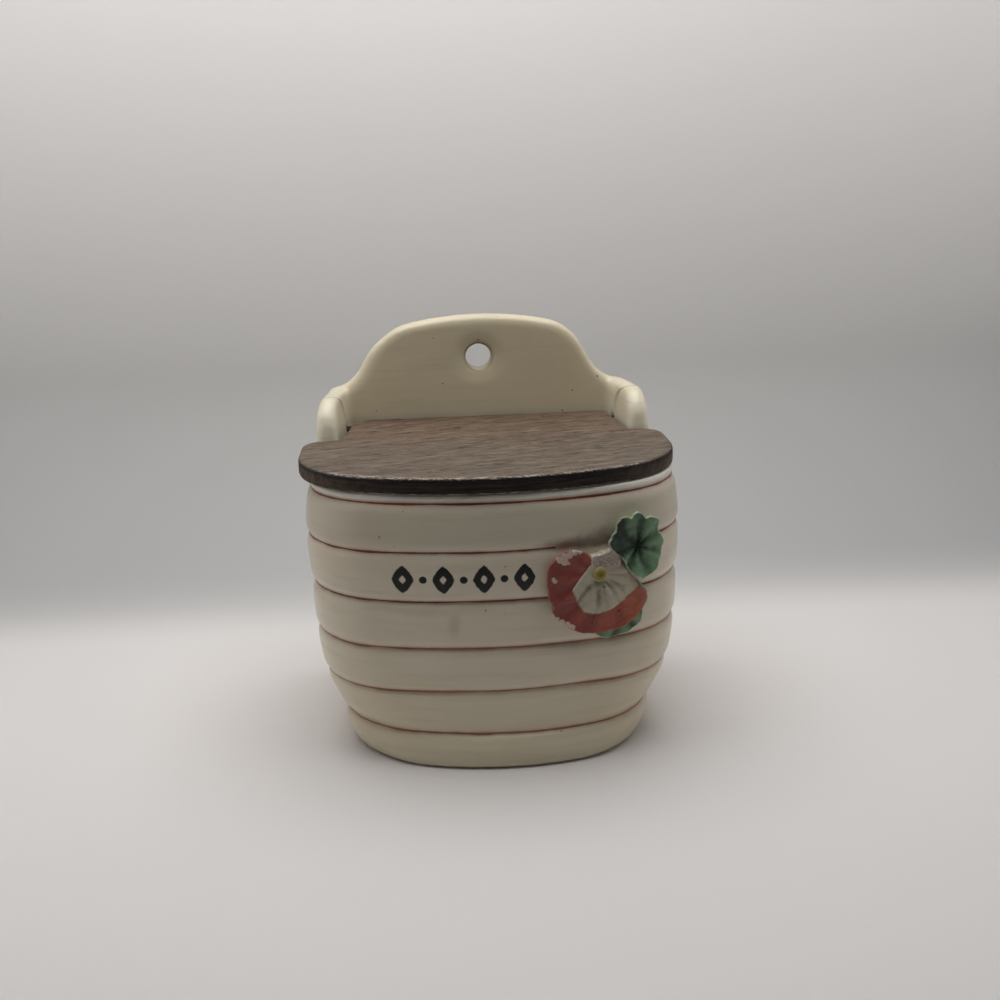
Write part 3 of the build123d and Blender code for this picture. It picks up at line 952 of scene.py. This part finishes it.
def make_flower():
    """Every clay piece of the flower, from the crock outwards."""
    green = flower_glaze("green_glaze", 0.35)
    red = flower_glaze("red_glaze", 0.25)
    cream = flower_glaze("pale_glaze", 0.5)
    clay = flower_glaze("bare_clay", 0.3)
    yellow = flower_glaze("yellow_glaze", 0.9)
    made = [
        ("under_leaf", "leaf_under", under_middle, under_leaf_form, 0.93, green, "leaf_glaze"),
        ("upper_leaf", "leaf_upper", leaf_middle, leaf_form, 0.72, green, "leaf_glaze"),
        ("left_petal", "petal_left", (-10.5, 6.0), petal_form, 0.88, red, "petal_glaze"),
        ("lower_left_petal", "petal_lower_left", (-8.0, -7.0), petal_form, 0.88, red, "petal_glaze"),
        ("lower_right_petal", "petal_lower_right", (6.0, -8.0), petal_form, 0.88, red, "petal_glaze"),
        ("broken_petal", "petal_top", (1.2, 10.3), stump_form, 0.94, clay, "bare_clay"),
        ("pale_face", "flower_face", (0.5, 1.5), face_form, 0.96, cream, "face_glaze"),
        ("eye_bead", "flower_eye", eye_place, eye_form, 0.96, yellow, "eye_glaze"),
    ]
    for name, node, middle, form, tuck, material, slot in made:
        piece = clay_piece(name, outlines[node], middle, form, tuck)
        dress(piece, material)
        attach(piece, "box")
        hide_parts(node)


# ---------------------------------------------------------------- camera, light and ground
camera_place = (-26.5, -465.9, 209.6)
camera_turn = (-3.709, -15.696, -1.511)  # to the left, down, and roll, in degrees
camera_lens = 50.4

# the light tent and its lights, in metres
tent_side = 0.30
tent_fold = 0.09  # radius of the fold between the floor and the back
tent_back = 0.20
tent_front = -0.21
tent_top = 0.52

floor_paper = (0.76, 0.735, 0.72)
# painted shade and painted light on the tent's back
painted_shade_paper = (0.43, 0.432, 0.43)
painted_light_paper = (0.90, 0.885, 0.87)
paper_shade_heights = (-60, 310)  # the back is painted from painted_shade_paper to painted_light_paper between these heights, in mm: painted shade and painted light
floor_ends = (80, 150)  # in mm

lights = [  # name, place, target, width and depth, and power
    ("tent_top", (-0.02, 0.0, 0.50), (-0.02, 0.0, 0.0), (0.45, 0.38), 1.72),
    ("front_strip", (-0.04, -0.14, 0.44), (0.0, 0.03, 0.10), (0.30, 0.03), 0.06),
]

room_colour = (0.95, 0.97, 1.0)
room_strength = 0.04
room_strength_seen = 0.5  # what the camera itself sees of the room


def make_camera():
    """The camera, at the place and turn above."""
    left, down, roll = (radians(angle) for angle in camera_turn)
    camera = bpy.data.objects.new("camera", bpy.data.cameras.new("camera"))
    camera.data.lens = camera_lens
    camera.data.sensor_width = 36
    turn = Matrix.Rotation(left, 4, "Z") @ Matrix.Rotation(radians(90) + down, 4, "X")
    turn = turn @ Matrix.Rotation(roll, 4, "Z")
    camera.matrix_world = Matrix.Translation(Vector(camera_place) * MM) @ turn
    bpy.context.scene.collection.objects.link(camera)
    bpy.context.scene.camera = camera


def make_light(name, place, target, size, power):
    """An area light that faces its target. Its places and sizes are in metres."""
    lamp = bpy.data.lights.new(name, "AREA")
    lamp.shape = "RECTANGLE"
    lamp.size, lamp.size_y = size
    lamp.energy = power
    light = bpy.data.objects.new(name, lamp)
    aim = Vector(target) - Vector(place)
    light.matrix_world = Matrix.Translation(place) @ aim.to_track_quat("-Z", "Y").to_matrix().to_4x4()
    bpy.context.scene.collection.objects.link(light)


def make_stage():
    """A light tent: a floor that curves up into the back, and two sides out of the camera's view. The back
    is painted darker low down and lighter higher up: painted shade and light.
    """
    bend = np.radians(np.linspace(0, 90, 24))
    middle_y = tent_back - tent_fold
    profile = [(tent_front, 0.0)]
    profile += [(middle_y + tent_fold * np.sin(a), tent_fold - tent_fold * np.cos(a)) for a in bend]
    profile += [(tent_back, tent_top)]
    places = [(x, y, z) for y, z in profile for x in (-tent_side, tent_side)]
    faces = [(2 * i, 2 * i + 1, 2 * i + 3, 2 * i + 2) for i in range(len(profile) - 1)]
    for x in (-tent_side, tent_side):
        start = len(places)
        corners_yz = ((tent_front, 0), (tent_back, 0), (tent_back, tent_top), (tent_front, tent_top))
        places += [(x, y, z) for y, z in corners_yz]
        corners = (start, start + 1, start + 2, start + 3)
        faces.append(corners if x < 0 else corners[::-1])
    mesh = bpy.data.meshes.new("tent")
    mesh.from_pydata(places, [], faces)
    tent = link("tent", mesh)
    f = Finish("pale_paper")
    # painted shade low on the back, painted light higher up
    shaded = f.mix(f.rise(f.z, *paper_shade_heights), painted_shade_paper, painted_light_paper)
    colour = f.mix(f.rise(f.y, *floor_ends), floor_paper, shaded)
    tent.data.materials.append(f.finish(colour, 0.9))
    clear_from_outside(f)


def clear_from_outside(f):
    """Lets a camera outside the tent see in, through the backs of its walls."""
    behind = f.add("ShaderNodeNewGeometry").outputs["Backfacing"]
    seen = f.add("ShaderNodeLightPath").outputs["Is Camera Ray"]
    choice = f.add("ShaderNodeMixShader")
    f.put(f.times(behind, seen), choice.inputs[0])
    f.put(f.shader.outputs[0], choice.inputs[1])
    f.put(f.add("ShaderNodeBsdfTransparent").outputs[0], choice.inputs[2])
    f.put(choice.outputs[0], f.output.inputs["Surface"])


def make_world():
    """A dim room round the tent, which looks brighter than the light it gives."""
    world = bpy.data.worlds.new("room")
    bpy.context.scene.world = world
    world.use_nodes = True
    tree = world.node_tree
    strength = tree.nodes.new("ShaderNodeMapRange")
    strength.inputs["To Min"].default_value = room_strength
    strength.inputs["To Max"].default_value = room_strength_seen
    tree.links.new(tree.nodes.new("ShaderNodeLightPath").outputs["Is Camera Ray"], strength.inputs["Value"])
    background = tree.nodes["Background"]
    background.inputs["Color"].default_value = (*room_colour, 1)
    tree.links.new(strength.outputs[0], background.inputs["Strength"])


# ---------------------------------------------------------------- the whole scene
bpy.context.scene.view_settings.view_transform = "Standard"
make_camera()
make_stage()
make_world()
for light in lights:
    make_light(*light)
make_crock(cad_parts["crock"])
make_lid(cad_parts["lid_board"])
dress_pins(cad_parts)
make_flower()
